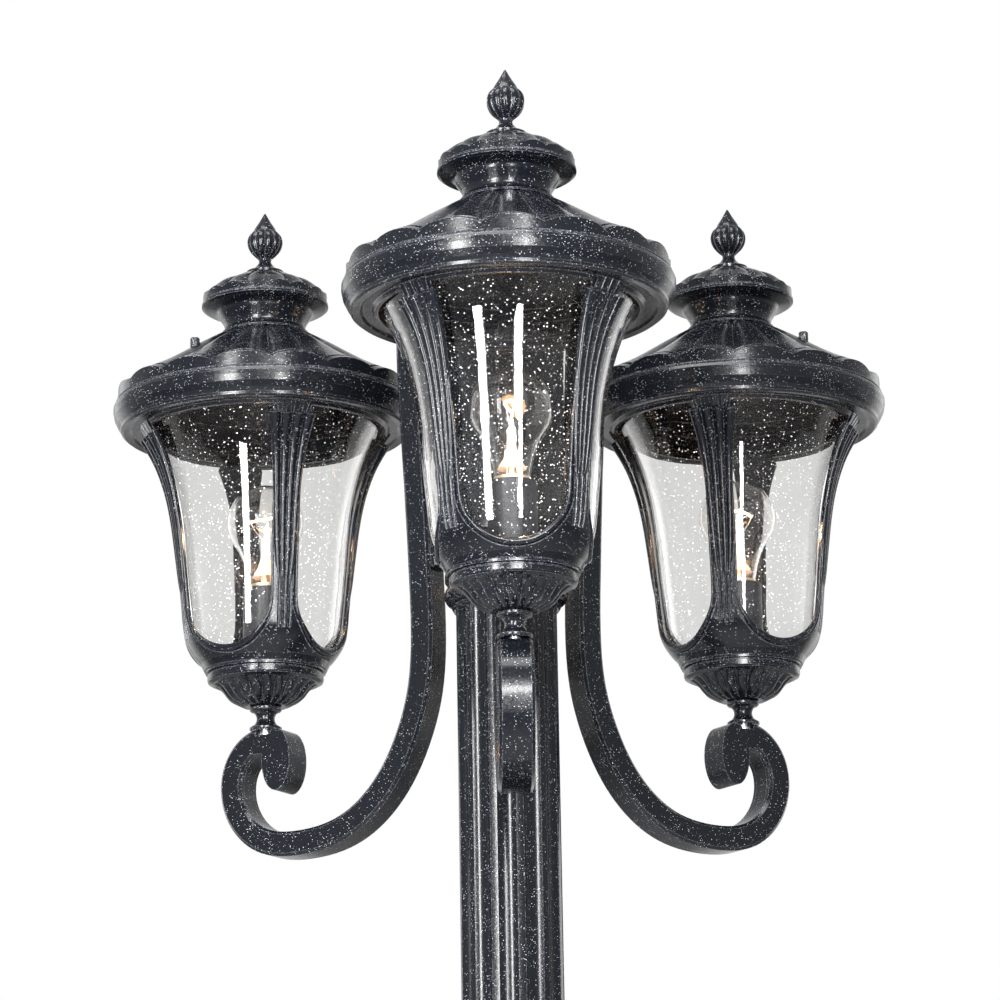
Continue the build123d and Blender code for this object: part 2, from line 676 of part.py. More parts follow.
with BuildPart() as finial:
    with BuildSketch(Plane.XZ):
        with BuildLine():
            low = finial_foot
            Polyline((0, low - 12), (screw_radius + 0.5, low - 12), (screw_radius + 0.5, low),
                     (14.6, low), (14.8, low + 2.8))
            ThreePointArc((14.8, low + 2.8), (9.6, low + 5.2), (5.0, low + 10.5))
            Polyline((5.0, low + 10.5), (4.8, low + 12), (5.2, low + 14), (0, low + 14), (0, low - 12))
        make_face()
    revolve(axis=Axis.Z)
    lobed_loft(((low + 13, 5.2), (low + 16, 8.2), (low + 19.6, 11.5), (low + 24, 13.5), (low + 29, 13.9),
                (low + 33, 12.6), (low + 36, 10.0), (low + 37.5, 8.0)), 0.13, finial_lobes)
    with BuildSketch(Plane.XZ):
        with BuildLine():
            Line((0, low + 30), (9.6, low + 34))
            Spline((9.6, low + 34), (8.3, low + 38.5), (5.2, low + 43.5), (2.6, low + 48),
                   (0.6, lantern_height - 0.4))
            Polyline((0.6, lantern_height - 0.4), (0, lantern_height), (0, low + 30))
        make_face()
    revolve(axis=Axis.Z)

with BuildPart() as arm_wire:
    with BuildSketch(Plane.XY.offset(-bar_depth / 2 - wire_offset)):
        with Locations((head_reach, 0)):
            Circle(wire_radius)
    extrude(amount=bar_depth / 2 + wire_offset + socket_floor + 11)
    with BuildSketch(Plane.YZ):
        with Locations((0, arm_end_z + wire_offset)):
            Circle(wire_radius)
    extrude(amount=pad_face + 1)
    add(along_arm(2 * wire_radius, 0, wire_offset))

with BuildPart() as wiring:
    with BuildSketch(Plane.XY.offset(20)):
        Circle(trunk_radius)
    extrude(amount=foot_z + arm_end_z + wire_offset - 20)
    for angle in head_angles.values():
        add(arm_wire.part.moved(Location((0, 0, foot_z), (0, 0, angle))))
export(wiring.part, "wiring")

# ---------------------------------------------------------------- carry the pieces to the heads
lantern_pieces = {"nipple": nipple, "spool": spool, "bowl": bowl, "cage": cage, "glass": glass,
                  "socket": socket, "bulb": bulb, "bulb_base": bulb_base}
turned_pieces = {"brim_ring": ring_with_lugs, "roof": roof, "chimney": chimney,
                 "chimney_cap": chimney_cap, "finial": finial}
arm_pieces = {"arm": arm, "arm_cover": arm_cover}
for head, angle in head_angles.items():
    at_post = Location((0, 0, foot_z), (0, 0, angle))
    at_lantern = at_post * Location((head_reach, 0, 0))
    at_roof = at_lantern * Location((0, 0, 0), (0, 0, roof_turns[head]))
    for label, piece in arm_pieces.items():
        export(piece.part.moved(at_post), label + "_" + head)
    for label, piece in lantern_pieces.items():
        export(piece.part.moved(at_lantern), label + "_" + head)
    for label, piece in turned_pieces.items():
        export(piece.part.moved(at_roof), label + "_" + head)
    for label, side in (("knob_a", 1), ("knob_b", -1)):
        at_knob = at_roof * Location((side * knob_circle, 0, 0))
        export(roof_knob.part.moved(at_knob), label + "_" + head)
screws = Compound(children=[arm_screws.part.moved(Location((0, 0, foot_z), (0, 0, angle)))
                            for angle in head_angles.values()])
export(screws, "arm_screws")
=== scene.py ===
"""Looks of the triple head lamp post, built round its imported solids.

Every length is in metres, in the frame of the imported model: +Z up, origin on the post axis
at floor level, the front lantern towards -Y.
"""

import logging
import math
from dataclasses import dataclass
from enum import Enum

import bpy
from mathutils import Matrix, Vector

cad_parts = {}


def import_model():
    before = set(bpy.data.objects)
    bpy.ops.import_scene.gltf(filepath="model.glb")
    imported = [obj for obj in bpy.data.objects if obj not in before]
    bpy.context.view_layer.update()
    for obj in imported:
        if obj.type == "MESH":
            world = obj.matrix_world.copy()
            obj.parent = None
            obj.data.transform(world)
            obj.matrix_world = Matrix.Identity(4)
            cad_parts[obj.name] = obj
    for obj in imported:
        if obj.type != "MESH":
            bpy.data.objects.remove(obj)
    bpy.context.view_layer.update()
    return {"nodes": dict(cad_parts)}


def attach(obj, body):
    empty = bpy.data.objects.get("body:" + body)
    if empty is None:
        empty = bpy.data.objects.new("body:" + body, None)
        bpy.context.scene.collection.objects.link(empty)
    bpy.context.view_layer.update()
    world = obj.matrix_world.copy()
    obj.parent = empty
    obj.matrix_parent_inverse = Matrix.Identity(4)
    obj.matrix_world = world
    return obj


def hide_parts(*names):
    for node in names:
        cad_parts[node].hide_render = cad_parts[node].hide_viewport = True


logger = logging.getLogger("lamp_post")

Colour = tuple[float, float, float]
Profile = tuple[tuple[float, float], ...]

FOOT_Z = 1.612          # top of the scrolls, where each lantern stands
HEAD_REACH = 0.213      # post axis to lantern axis
UNIT_ROD = 0.001        # bevel radius of a curve, which the radius of each point scales
SENSOR_WIDTH = 36.0     # millimetres
PHOTO_WIDTH = 1000.0    # pixels
MIX_COLOURS = (6, 7)    # sockets of the two colours of a Mix node
MIX_RESULT = 2          # socket of their mixture


class Head(Enum):
    """The three lanterns: name, azimuth of the arm and turn of the roof, in degrees."""

    FRONT = ("front", -90.0, 0.0)
    LEFT = ("left", 150.0, 67.5)
    RIGHT = ("right", 30.0, -67.5)

    @property
    def label(self) -> str:
        """Word that ends the names of this lantern's nodes."""
        return self.value[0]

    def place(self, turned: bool = False) -> Matrix:
        """Where the lantern stands.

        Args:
            turned: Also turn the piece with the roof of this lantern.

        Returns:
            Matrix from the lantern's own frame to the frame of the post.
        """
        turn = self.value[2] if turned else 0.0
        return (
            Matrix.Rotation(math.radians(self.value[1]), 4, "Z")
            @ Matrix.Translation((HEAD_REACH, 0.0, FOOT_Z))
            @ Matrix.Rotation(math.radians(turn), 4, "Z")
        )


class Bench:
    """Node bench of one material: adds nodes and joins their sockets."""

    def __init__(self, name: str) -> None:
        """Start an empty material of that name."""
        self.material = bpy.data.materials.new(name)
        self.material.use_nodes = True
        self.tree = self.material.node_tree
        self.tree.nodes.clear()

    def node(self, kind: str, settings: dict[str, object] | None = None, **values: object) -> bpy.types.Node:
        """Add one node.

        Args:
            kind: Type of the node without its ShaderNode prefix.
            settings: Properties of the node, by name.
            **values: Unlinked socket values, by socket name with spaces as underscores.

        Returns:
            The new node.
        """
        made = self.tree.nodes.new("ShaderNode" + kind)
        for key, value in (settings or {}).items():
            setattr(made, key, value)
        for key, value in values.items():
            made.inputs[key.replace("_", " ")].default_value = value
        return made

    def join(self, source: bpy.types.NodeSocket, target: bpy.types.NodeSocket) -> None:
        """Link an output socket to an input socket."""
        self.tree.links.new(source, target)

    def math(self, operation: str, first: object, second: object = 0.0) -> bpy.types.NodeSocket:
        """Add a math node.

        Args:
            operation: Blender's name of the operation.
            first: Socket or number.
            second: Socket or number.

        Returns:
            The result's socket.
        """
        made = self.node("Math", {"operation": operation})
        for slot, value in zip(made.inputs, (first, second)):
            if isinstance(value, bpy.types.NodeSocket):
                self.join(value, slot)
            else:
                slot.default_value = value
        return made.outputs[0]

    def ramp(self, value: bpy.types.NodeSocket, low: float, high: float,
             to_low: float = 0.0, to_high: float = 1.0) -> bpy.types.NodeSocket:
        """Map a value from one range to another, clamped.

        Args:
            value: Socket to map.
            low: Value that becomes to_low.
            high: Value that becomes to_high.
            to_low: Result at low.
            to_high: Result at high.

        Returns:
            The mapped value's socket.
        """
        made = self.node("MapRange", {"clamp": True}, From_Min=low, From_Max=high,
                         To_Min=to_low, To_Max=to_high)
        self.join(value, made.inputs["Value"])
        return made.outputs["Result"]

    def blend(self, share: bpy.types.NodeSocket, first: object, second: object) -> bpy.types.NodeSocket:
        """Mix two colours.

        Args:
            share: Share of the second colour.
            first: Colour or socket.
            second: Colour or socket.

        Returns:
            The mixed colour's socket.
        """
        made = self.node("Mix", {"data_type": "RGBA"})
        self.join(share, made.inputs["Factor"])
        for index, value in zip(MIX_COLOURS, (first, second)):
            slot = made.inputs[index]
            if isinstance(value, bpy.types.NodeSocket):
                self.join(value, slot)
            else:
                slot.default_value = (*value, 1.0)
        return made.outputs[MIX_RESULT]

    def finish(self, shader: bpy.types.NodeSocket) -> bpy.types.Material:
        """Join the shader to the output and return the material."""
        self.join(shader, self.node("OutputMaterial").inputs["Surface"])
        return self.material


@dataclass(frozen=True)
class SpeckledPaint:
    """Glossy charcoal paint on a casting, with silver-grey specks and rubbed edges, whose lighter colour is
    partly wear and partly a painted edge highlight.
    """

    base: Colour = (0.0022, 0.0027, 0.0040)
    dust: Colour = (0.0035, 0.0042, 0.0060)
    speck: Colour = (0.50, 0.52, 0.56)
    # lighter colour of the edges: partly rubbed paint, partly a painted edge highlight
    rubbed_and_highlight: Colour = (0.12, 0.127, 0.145)
    speck_cell: float = 0.0010      # spacing of the specks
    peel_cell: float = 0.0011       # grain of the painted surface
    edge_width: float = 0.0012
    roughness: float = 0.17

    def make(self, name: str) -> bpy.types.Material:
        """Build the material of that name."""
        bench = Bench(name)
        place = bench.node("TexCoord").outputs["Object"]
        cells = bench.node("TexVoronoi", Scale=1.0 / self.speck_cell, Randomness=1.0)
        bench.join(place, cells.inputs["Vector"])
        dot = bench.ramp(cells.outputs["Distance"], 0.30, 0.16)
        chance = bench.node("SeparateColor")
        bench.join(cells.outputs["Color"], chance.inputs["Color"])
        drift = bench.node("TexNoise", Scale=55.0, Detail=3.0, Roughness=0.6)
        bench.join(place, drift.inputs["Vector"])
        crowd = bench.ramp(drift.outputs["Fac"], 0.38, 0.66, 0.95, 0.60)
        chosen = bench.math("GREATER_THAN", chance.outputs["Red"], crowd)
        specks = bench.math("MULTIPLY", bench.math("MULTIPLY", dot, chosen),
                            bench.ramp(chance.outputs["Green"], 0.0, 1.0, 0.12, 1.0))
        grain = bench.node("TexNoise", Scale=1.0 / self.peel_cell, Detail=2.0, Roughness=0.55)
        bench.join(place, grain.inputs["Vector"])
        edge = self.edges(bench, grain.outputs["Fac"])
        body = bench.blend(bench.ramp(grain.outputs["Fac"], 0.50, 0.72), self.base, self.dust)
        # the edges take a lighter colour, partly rubbed paint and partly a painted edge highlight
        body = bench.blend(edge, body, self.rubbed_and_highlight)
        body = bench.blend(specks, body, self.speck)
        bump = bench.node("Bump", Strength=0.16, Distance=0.00030)
        bench.join(grain.outputs["Fac"], bump.inputs["Height"])
        flow = bench.node("TexNoise", Scale=95.0, Detail=2.0)
        bench.join(place, flow.inputs["Vector"])
        swell = bench.node("Bump", Strength=0.10, Distance=0.0012)
        bench.join(flow.outputs["Fac"], swell.inputs["Height"])
        bench.join(bump.outputs["Normal"], swell.inputs["Normal"])
        shader = bench.node("BsdfPrincipled", Metallic=0.0, Specular_IOR_Level=0.17)
        bench.join(body, shader.inputs["Base Color"])
        bench.join(bench.ramp(grain.outputs["Fac"], 0.3, 0.7, self.roughness - 0.07, self.roughness + 0.12),
                   shader.inputs["Roughness"])
        bench.join(swell.outputs["Normal"], shader.inputs["Normal"])
        return bench.finish(shader.outputs[0])

    def edges(self, bench: Bench, grain: bpy.types.NodeSocket) -> bpy.types.NodeSocket:
        """Mask of the edges and crests where the paint is rubbed thin and where a painted edge highlight
        lies.

        Args:
            bench: Node bench of the material.
            grain: Noise that breaks the edge up.

        Returns:
            Mask socket, 1 on the edges.
        """
        rounded = bench.node("Bevel", {"samples": 4}, Radius=self.edge_width)
        dot = bench.node("VectorMath", {"operation": "DOT_PRODUCT"})
        bench.join(rounded.outputs["Normal"], dot.inputs[0])
        bench.join(bench.node("NewGeometry").outputs["Normal"], dot.inputs[1])
        turned = bench.ramp(dot.outputs["Value"], 0.995, 0.90)
        return bench.math("MULTIPLY", turned, bench.ramp(grain, 0.42, 0.66, 0.0, 0.80))


@dataclass(frozen=True)
class SeededGlass:
    """Clear blown glass with small air bubbles, called seeds, drawn as small pale dots that are a painted
    glint of the light each bubble catches.
    """

    tint: Colour = (0.845, 0.845, 0.84)
    # pale colour of the seeds: a painted glint of the light caught by each bubble
    seed_glint_colour: Colour = (0.90, 0.91, 0.92)
    seed_cell: float = 0.0032
    wave_cell: float = 0.030

    def make(self, name: str) -> bpy.types.Material:
        """Build the material of that name."""
        bench = Bench(name)
        place = bench.node("TexCoord").outputs["Object"]
        cells = bench.node("TexVoronoi", Scale=1.0 / self.seed_cell, Randomness=1.0)
        bench.join(place, cells.inputs["Vector"])
        pick = bench.node("SeparateColor")
        bench.join(cells.outputs["Color"], pick.inputs["Color"])
        size = bench.ramp(pick.outputs["Green"], 0.0, 1.0, 0.08, 0.155)
        inside = bench.math("LESS_THAN", cells.outputs["Distance"], size)
        seeds = bench.math("MULTIPLY", inside, bench.math("GREATER_THAN", pick.outputs["Red"], 0.25))
        wave = bench.node("TexNoise", Scale=1.0 / self.wave_cell, Detail=1.0)
        bench.join(place, wave.inputs["Vector"])
        ripple = bench.node("Bump", Strength=0.12, Distance=0.002)
        bench.join(wave.outputs["Fac"], ripple.inputs["Height"])
        glass = bench.node("BsdfPrincipled", Base_Color=(*self.tint, 1.0), Roughness=0.0, IOR=1.28,
                           Transmission_Weight=1.0)
        bench.join(ripple.outputs["Normal"], glass.inputs["Normal"])
        # each seed is a small pale dot, a painted glint in place of the light that a bubble catches
        bubble_glint = bench.node("BsdfPrincipled", Base_Color=(*self.seed_glint_colour, 1.0), Roughness=0.25)
        mixed = bench.node("MixShader")
        bench.join(bench.math("MULTIPLY", seeds, 0.8), mixed.inputs[0])
        bench.join(glass.outputs[0], mixed.inputs[1])
        bench.join(bubble_glint.outputs[0], mixed.inputs[2])
        clear = bench.node("BsdfTransparent", Color=(0.92, 0.92, 0.92, 1.0))
        lit = bench.node("MixShader")
        bench.join(bench.node("LightPath").outputs["Is Shadow Ray"], lit.inputs[0])
        bench.join(mixed.outputs[0], lit.inputs[1])
        bench.join(clear.outputs[0], lit.inputs[2])
        return bench.finish(lit.outputs[0])


@dataclass(frozen=True)
class BulbGlass:
    """Thin clear glass of a bulb, with a faint uneven haze."""

    tint: Colour = (0.97, 0.96, 0.945)

    def make(self, name: str) -> bpy.types.Material:
        """Build the material of that name."""
        bench = Bench(name)
        place = bench.node("TexCoord").outputs["Object"]
        mist = bench.node("TexNoise", Scale=60.0, Detail=2.0)
        bench.join(place, mist.inputs["Vector"])
        glass = bench.node("BsdfPrincipled", Base_Color=(*self.tint, 1.0), IOR=1.45, Transmission_Weight=1.0)
        bench.join(bench.ramp(mist.outputs["Fac"], 0.4, 0.8, 0.0, 0.04), glass.inputs["Roughness"])
        clear = bench.node("BsdfTransparent", Color=(0.95, 0.95, 0.95, 1.0))
        lit = bench.node("MixShader")
        bench.join(bench.node("LightPath").outputs["Is Shadow Ray"], lit.inputs[0])
        bench.join(glass.outputs[0], lit.inputs[1])
        bench.join(clear.outputs[0], lit.inputs[2])
        return bench.finish(lit.outputs[0])


@dataclass(frozen=True)
class WornMetal:
    """Bare or plated metal with a fine uneven grain and a little tarnish."""

    bright: Colour = (0.62, 0.62, 0.64)
    dull: Colour = (0.30, 0.29, 0.28)
    roughness: float = 0.28
    mark: float = 420.0

    def make(self, name: str) -> bpy.types.Material:
        """Build the material of that name."""
        bench = Bench(name)
        place = bench.node("TexCoord").outputs["Object"]
        cloud = bench.node("TexNoise", Scale=self.mark, Detail=4.0, Roughness=0.6)
        bench.join(place, cloud.inputs["Vector"])
        shader = bench.node("BsdfPrincipled", Metallic=1.0)
        bench.join(bench.blend(bench.ramp(cloud.outputs["Fac"], 0.45, 0.75), self.bright, self.dull),
                   shader.inputs["Base Color"])
        bench.join(bench.ramp(cloud.outputs["Fac"], 0.3, 0.8, self.roughness - 0.06, self.roughness + 0.2),
                   shader.inputs["Roughness"])
        bump = bench.node("Bump", Strength=0.12, Distance=0.0002)
        bench.join(cloud.outputs["Fac"], bump.inputs["Height"])
        bench.join(bump.outputs["Normal"], shader.inputs["Normal"])
        return bench.finish(shader.outputs[0])


@dataclass(frozen=True)
class Moulded:
    """Moulded phenolic or rubber: near black, with a fine matt grain."""

    base: Colour = (0.006, 0.006, 0.007)
    light: Colour = (0.016, 0.016, 0.018)
    roughness: float = 0.42

    def make(self, name: str) -> bpy.types.Material:
        """Build the material of that name."""
        bench = Bench(name)
        place = bench.node("TexCoord").outputs["Object"]
        grain = bench.node("TexNoise", Scale=700.0, Detail=3.0)
        bench.join(place, grain.inputs["Vector"])
        shader = bench.node("BsdfPrincipled", Specular_IOR_Level=0.15)
        bench.join(bench.blend(bench.ramp(grain.outputs["Fac"], 0.4, 0.7), self.base, self.light),
                   shader.inputs["Base Color"])
        bench.join(bench.ramp(grain.outputs["Fac"], 0.3, 0.7, self.roughness - 0.08, self.roughness + 0.1),
                   shader.inputs["Roughness"])
        bump = bench.node("Bump", Strength=0.15, Distance=0.0003)
        bench.join(grain.outputs["Fac"], bump.inputs["Height"])
        bench.join(bump.outputs["Normal"], shader.inputs["Normal"])
        return bench.finish(shader.outputs[0])


@dataclass(frozen=True)
class Glow:
    """Glowing filament wire, hotter in some stretches than in others."""

    hot: Colour = (1.0, 0.66, 0.32)
    warm: Colour = (1.0, 0.42, 0.13)
    strength: float = 60.0

    def make(self, name: str) -> bpy.types.Material:
        """Build the material of that name."""
        bench = Bench(name)
        place = bench.node("TexCoord").outputs["Object"]
        cloud = bench.node("TexNoise", Scale=180.0, Detail=1.0)
        bench.join(place, cloud.inputs["Vector"])
        shader = bench.node("BsdfPrincipled", Base_Color=(0.2, 0.12, 0.06, 1.0), Roughness=0.5,
                            Emission_Strength=self.strength)
        bench.join(bench.blend(cloud.outputs["Fac"], self.hot, self.warm), shader.inputs["Emission Color"])
        return bench.finish(shader.outputs[0])


@dataclass(frozen=True)
class LitMount:
    """Pressed glass inside a bulb, with the filament's light on it painted as a warm glow that is strongest
    at the top.
    """

    near: Colour = (1.0, 0.60, 0.28)
    far: Colour = (0.20, 0.08, 0.03)
    foot_z: float = 1.734
    tip_z: float = 1.764
    strength: float = 1.1

    def make(self, name: str) -> bpy.types.Material:
        """Build the material of that name."""
        bench = Bench(name)
        place = bench.node("TexCoord").outputs["Object"]
        parts = bench.node("SeparateXYZ")
        bench.join(place, parts.inputs[0])
        # painted glow: the filament's light, brighter towards the top of the mount
        rise = bench.ramp(parts.outputs["Z"], self.foot_z, self.tip_z)
        cloud = bench.node("TexNoise", Scale=260.0, Detail=2.0)
        bench.join(place, cloud.inputs["Vector"])
        share = bench.math("MULTIPLY", rise, bench.ramp(cloud.outputs["Fac"], 0.35, 0.65, 0.35, 1.0))
        shader = bench.node("BsdfPrincipled", Base_Color=(0.9, 0.88, 0.85, 1.0), Roughness=0.12, IOR=1.45,
                            Transmission_Weight=0.7, Emission_Strength=self.strength)
        bench.join(bench.blend(share, self.far, self.near), shader.inputs["Emission Color"])
        return bench.finish(shader.outputs[0])


@dataclass(frozen=True)
class Finishes:
    """Every finish of the lamp post, made once."""

    cast: bpy.types.Material
    glass: bpy.types.Material
    bulb: bpy.types.Material
    brass: bpy.types.Material
    steel: bpy.types.Material
    phenolic: bpy.types.Material
    sheath: bpy.types.Material
    glow: bpy.types.Material
    mount: bpy.types.Material

    @classmethod
    def make(cls) -> "Finishes":
        """Build all the finishes."""
        return cls(
            cast=SpeckledPaint().make("speckled_casting_paint"),
            glass=SeededGlass().make("seeded_glass"),
            bulb=BulbGlass().make("clear_bulb_glass"),
            brass=WornMetal((0.72, 0.56, 0.34), (0.36, 0.27, 0.16), 0.30).make("thin_brass"),
            steel=WornMetal().make("plated_steel"),
            phenolic=Moulded().make("black_phenolic"),
            sheath=Moulded((0.018, 0.018, 0.018), (0.04, 0.04, 0.04), 0.55).make("cable_sheath"),
            glow=Glow().make("glowing_filament"),
            mount=LitMount().make("lit_glass_mount"),
        )


def dress(nodes: dict[str, bpy.types.Object], finishes: Finishes) -> None:
    """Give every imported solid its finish.

    Args:
        nodes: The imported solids, by node name.
        finishes: The finishes of the lamp post.
    """
    by_start = {
        "glass": finishes.glass,
        "bulb_base": finishes.brass,
        "bulb": finishes.bulb,
        "socket": finishes.phenolic,
        "wiring": finishes.sheath,
        "nipple": finishes.steel,
        "arm_screws": finishes.steel,
        "base_screws": finishes.steel,
    }
    for label, node in nodes.items():
        chosen = next((m for start, m in by_start.items() if label.startswith(start)), finishes.cast)
        node.data.materials.clear()
        node.data.materials.append(chosen)


def deselect() -> None:
    """Leave nothing selected and be in object mode."""
    if bpy.context.object and bpy.context.object.mode != "OBJECT":
        bpy.ops.object.mode_set(mode="OBJECT")
    bpy.ops.object.select_all(action="DESELECT")


def lathe(name: str, profile: Profile, steps: int) -> bpy.types.Object:
    """Raise a round piece from a disc by extruding and scaling its rim.

    Args:
        name: Name of the piece.
        profile: Radii and heights from the bottom up.
        steps: Sides of the round.

    Returns:
        The closed piece, about the Z axis.
    """
    deselect()
    bpy.ops.mesh.primitive_circle_add(vertices=steps, radius=profile[0][0], fill_type="NGON",
                                      location=(0.0, 0.0, profile[0][1]))
    piece = bpy.context.object
    piece.name = piece.data.name = name
    bpy.ops.object.transform_apply(location=True, rotation=True, scale=True)
    bpy.ops.object.mode_set(mode="EDIT")
    bpy.ops.mesh.select_all(action="SELECT")
    for (radius, height), (wider, higher) in zip(profile, profile[1:]):
        bpy.ops.mesh.extrude_region_move(TRANSFORM_OT_translate={"value": (0.0, 0.0, higher - height)})
        share = wider / radius
        bpy.ops.transform.resize(value=(share, share, 1.0), center_override=(0.0, 0.0, higher))
    bpy.ops.mesh.select_all(action="SELECT")
    bpy.ops.mesh.normals_make_consistent(inside=False)
    bpy.ops.object.mode_set(mode="OBJECT")
    return piece


def rods(name: str, runs: list[list[tuple[float, float, float, float]]]) -> bpy.types.Object:
    """Lay round rods of changing thickness and make them one mesh.

    Args:
        name: Name of the piece.
        runs: Points of each rod, as x, y, z and radius.

    Returns:
        The piece, whose end caps meet the rods but aren't welded to them.
    """
    deselect()
    data = bpy.data.curves.new(name, "CURVE")
    data.dimensions = "3D"
    data.bevel_depth = UNIT_ROD
    data.bevel_resolution = 3
    data.resolution_u = 5
    data.use_fill_caps = True
    for run in runs:
        spline = data.splines.new("NURBS")
        spline.points.add(len(run) - 1)
        for point, (x, y, z, radius) in zip(spline.points, run):
            point.co = (x, y, z, 1.0)
            point.radius = radius / UNIT_ROD
        spline.use_endpoint_u = True
        spline.order_u = 3
    piece = bpy.data.objects.new(name, data)
    bpy.context.scene.collection.objects.link(piece)
    bpy.context.view_layer.objects.active = piece
    piece.select_set(True)
    bpy.ops.object.convert(target="MESH")
    piece = bpy.context.object
    piece.name = piece.data.name = name
    return piece


def settle(piece: bpy.types.Object, place: Matrix, body: str,
           material: bpy.types.Material, sharp: float = 40.0) -> None:
    """Put a finished piece in its place and on its body.

    Args:
        piece: The finished piece, modelled about its own origin.
        place: Where it goes, in the frame of the post.
        body: Body that it rides on.
        material: Its finish.
        sharp: Angle in degrees over which an edge stays sharp.
    """
    piece.data.transform(place)
    piece.data.update()
    piece.data.materials.clear()
    piece.data.materials.append(material)
    deselect()
    bpy.context.view_layer.objects.active = piece
    piece.select_set(True)
    bpy.ops.object.shade_smooth_by_angle(angle=math.radians(sharp))
    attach(piece, body)
    logger.info("%s: %d faces on %s", piece.name, len(piece.data.polygons), body)


@dataclass
class BulbInside:
    """Glass mount, lead wires and glowing filament inside a clear bulb."""

    head: Head
    mount: Profile = ((0.0105, 0.1215), (0.0098, 0.1225), (0.0060, 0.1290), (0.0036, 0.1370),
                      (0.0030, 0.1470), (0.0034, 0.1500), (0.0022, 0.1520))
    lead_radius: float = 0.00035
    wire_radius: float = 0.00036
    coil_reach: float = 0.0007      # middle of the coil to the middle of its wire
    turns: int = 26
    steps_per_turn: int = 6
    sideways: float = 0.004         # how far the filament bows to one side
    upward: float = 0.002           # how far it bows upwards
    spread: float = 0.014           # filament ends from the middle
    filament_z: float = 0.168

    def build(self, finishes: Finishes) -> None:
        """Model the three pieces and let them ride with the bulb.

        Args:
            finishes: The finishes of the lamp post.
        """
        place, body = self.head.place(), "bulb_" + self.head.label
        stem = lathe("bulb_mount_" + self.head.label, self.mount, 32)
        settle(stem, place, body, finishes.mount)
        wide, top, thin = self.spread, self.filament_z, self.lead_radius
        leads = rods("bulb_leads_" + self.head.label, [
            [(side * 0.0012, 0.0, 0.1480, thin), (side * 0.0030, 0.0, 0.1530, thin),
             (side * wide * 0.8, 0.0, top - 0.006, thin), (side * wide, 0.0, top, thin)]
            for side in (-1.0, 1.0)
        ] + [[(0.0, 0.0, 0.1500, thin), (0.0, -0.002, 0.1600, thin), (0.0, -0.004, top + 0.002, thin)]])
        settle(leads, place, body, finishes.steel)
        steps = self.turns * self.steps_per_turn
        coil = []
        for index in range(steps + 1):
            share = index / steps
            angle = 2 * math.pi * index / self.steps_per_turn
            bow = math.sin(math.pi * share)
            coil.append((wide * (2 * share - 1),
                         -self.sideways * bow + self.coil_reach * math.cos(angle),
                         top + self.upward * bow + self.coil_reach * math.sin(angle),
                         self.wire_radius))
        filament = rods("filament_" + self.head.label, [coil])
        settle(filament, place, body, finishes.glow)


@dataclass
class StrutReeds:
    """Four rounded reeds up each strut of a cage, which widen towards the brim."""

    head: Head
    outline: Profile = ((0.0652, 0.096), (0.0668, 0.109), (0.0696, 0.140), (0.0730, 0.169),
                        (0.0780, 0.193), (0.0860, 0.217), (0.0940, 0.231))
    sunk: float = 0.0012
    spacing: tuple[float, ...] = (0.0018, 0.0034, 0.0046, 0.0051, 0.0059, 0.0076, 0.0092)
    thickness: tuple[float, ...] = (0.0005, 0.0019, 0.0025, 0.0028, 0.0032, 0.0041, 0.0050)

    def build(self, finishes: Finishes) -> None:
        """Model the reeds of the four struts as one piece.

        Args:
            finishes: The finishes of the lamp post.
        """
        runs = []
        for strut in range(4):
            middle = math.radians(45.0 + 90.0 * strut)
            for rank in (-1.5, -0.5, 0.5, 1.5):
                run = []
                for (reach, height), gap, radius in zip(self.outline, self.spacing, self.thickness):
                    out, across = reach - self.sunk, rank * gap
                    run.append((out * math.cos(middle) - across * math.sin(middle),
                                out * math.sin(middle) + across * math.cos(middle), height, radius))
                runs.append(run)
        piece = rods("strut_reeds_" + self.head.label, runs)
        settle(piece, self.head.place(), "root", finishes.cast)


@dataclass
class WindowBead:
    """Rounded bead that follows the U of each window, broadest along its sill."""

    head: Head
    sides: Profile = ((0.0560, 0.2320), (0.0505, 0.2150), (0.0465, 0.1900), (0.0410, 0.1400))
    low_half: float = 0.0385
    low_z: float = 0.095
    wall: Profile = ((0.0500, 0.052), (0.0570, 0.0605), (0.0615, 0.069), (0.0643, 0.084), (0.0668, 0.109),
                     (0.0696, 0.140), (0.0730, 0.169), (0.0780, 0.193), (0.0860, 0.217), (0.0990, 0.2395))
    thin: float = 0.0010
    sill: float = 0.0028
    sunk: float = 0.0014
    sill_steps: int = 12
    fade: float = 1.5               # how fast the sill thins towards its ends

    def reach(self, height: float) -> float:
        """Radius of the cage's outer wall at a height."""
        for (near, low), (far, high) in zip(self.wall, self.wall[1:]):
            if height <= high:
                return near + (far - near) * (height - low) / (high - low)
        return self.wall[-1][0]

    def rim(self) -> list[tuple[float, float, float]]:
        """Points round one window's edge.

        Returns:
            Half-width with its sign, height and thickness of the bead at each point.
        """
        left = [(-half, height, self.thin) for half, height in self.sides]
        sill = []
        for step in range(self.sill_steps + 1):
            turn = math.pi * step / self.sill_steps
            across, drop = -self.low_half * math.cos(turn), self.low_half * math.sin(turn)
            thick = self.thin + (self.sill - self.thin) * math.sin(turn) ** self.fade
            sill.append((across, self.low_z - drop, thick))
        return left + sill + [(-across, height, thick) for across, height, thick in reversed(left)]

    def build(self, finishes: Finishes) -> None:
        """Model the beads of the four windows as one piece.

        Args:
            finishes: The finishes of the lamp post.
        """
        runs = []
        for window in range(4):
            turn = math.radians(90.0 * window)
            run = []
            for across, height, thick in self.rim():
                out = math.sqrt(self.reach(height) ** 2 - across ** 2) - self.sunk
                run.append((out * math.cos(turn) - across * math.sin(turn),
                            out * math.sin(turn) + across * math.cos(turn), height, thick))
            runs.append(run)
        piece = rods("window_beads_" + self.head.label, runs)
        settle(piece, self.head.place(), "root", finishes.cast)


